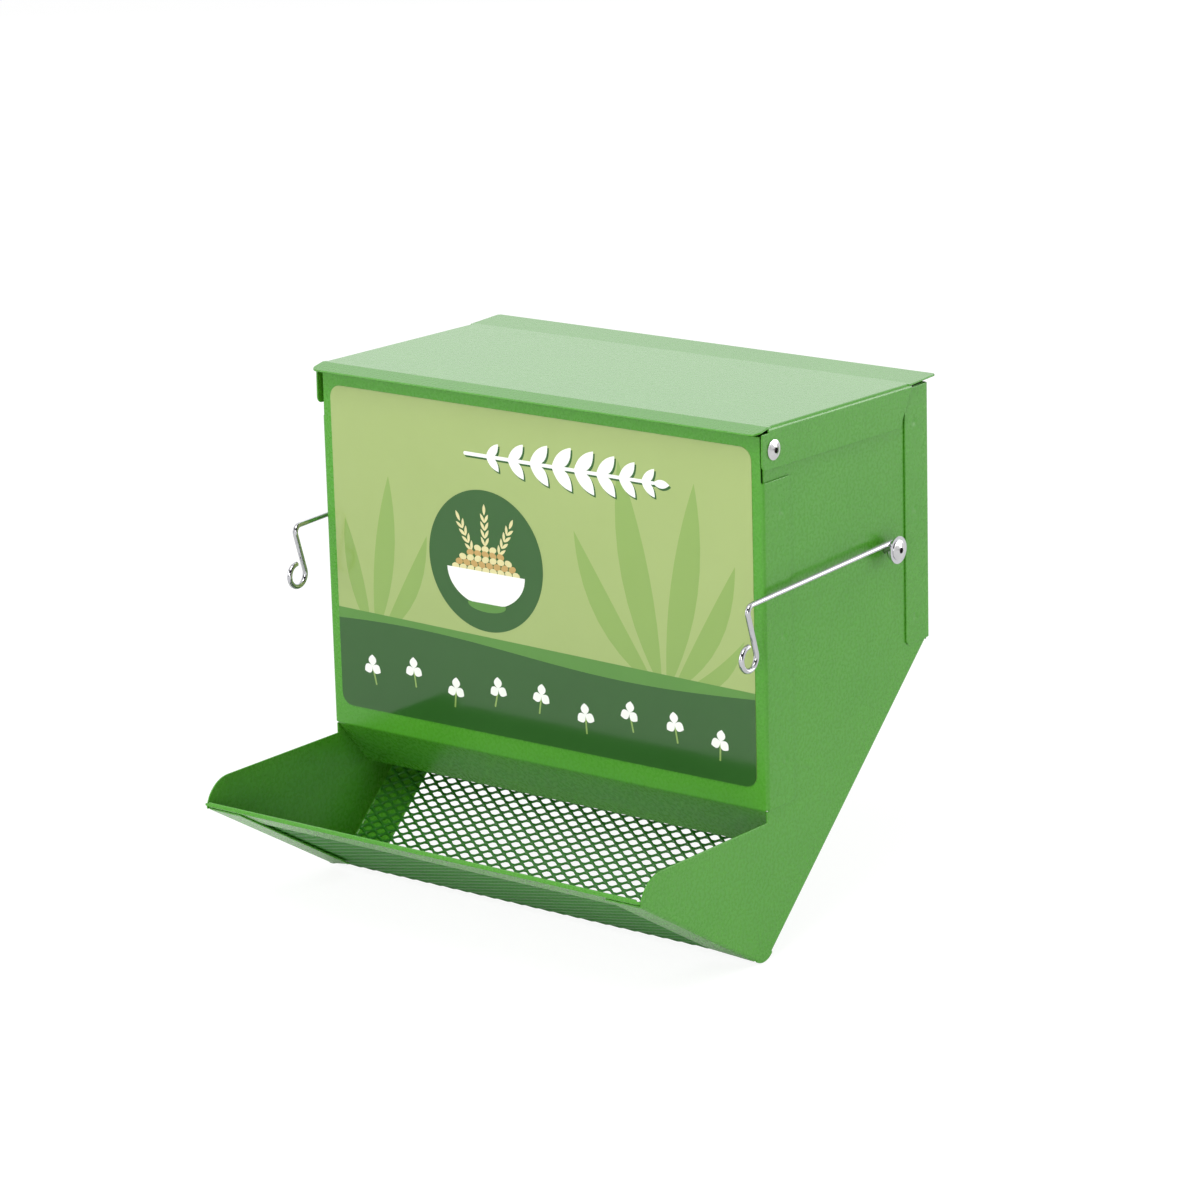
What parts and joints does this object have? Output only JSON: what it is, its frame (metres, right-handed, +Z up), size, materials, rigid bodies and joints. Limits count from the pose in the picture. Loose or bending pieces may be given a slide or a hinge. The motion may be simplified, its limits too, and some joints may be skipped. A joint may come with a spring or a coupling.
{
  "type": "hopper feeder",
  "caption": "Sheet-metal hopper feeder with a hinged lid, a sifting mesh base, an open feeding trough and swinging wire hooks that hold it to cage wire.",
  "frame": {"origin": "middle of the front label's outer face, which lies against the cage wire", "axes": "+X to the right seen from the trough, +Y back through the hopper, +Z up"},
  "size_m": [0.2648, 0.2232, 0.2401],
  "materials": {
    "powder_coat": "semi-gloss powder coat",
    "coated_mesh": "semi-gloss powder coat",
    "label_film": "glossy film",
    "rivet_steel": "plated",
    "mandrel_steel": "bare",
    "plated_steel": "bright zinc plating"
  },
  "bodies": {
    "hopper": {"left_side_panel": "powder_coat", "right_side_panel": "powder_coat", "front_panel": "powder_coat", "back_panel": "powder_coat", "front_lip": "powder_coat", "front_label": "label_film", "floor_mesh": "coated_mesh", "slope_mesh": "coated_mesh", "left_lid_rivet": "rivet_steel", "right_lid_rivet": "rivet_steel", "left_lid_rivet_stem": "mandrel_steel", "right_lid_rivet_stem": "mandrel_steel", "left_hook_rivet": "rivet_steel", "right_hook_rivet": "rivet_steel", "left_hook_rivet_stem": "mandrel_steel", "right_hook_rivet_stem": "mandrel_steel", "left_hook_washer": "plated_steel", "right_hook_washer": "plated_steel"},
    "lid": {"lid": "powder_coat"},
    "left_hook": {"left_hook_wire": "plated_steel"},
    "right_hook": {"right_hook_wire": "plated_steel"}
  },
  "joints": [
    {"name": "lid_hinge", "type": "hinge", "parent": "hopper", "child": "lid", "pos_m": [0, 0.0067, 0.0751], "axis": [1, 0, 0], "range_deg": [0, 90]},
    {"name": "right_hook_swing", "type": "hinge", "parent": "hopper", "child": "right_hook", "pos_m": [0.1288, 0.0937, 0.012], "axis": [1, 0, 0], "range_deg": [-32, 300]},
    {"name": "left_hook_swing", "type": "hinge", "parent": "hopper", "child": "left_hook", "pos_m": [-0.1288, 0.0937, 0.012], "axis": [1, 0, 0], "range_deg": [-32, 300]}
  ]
}
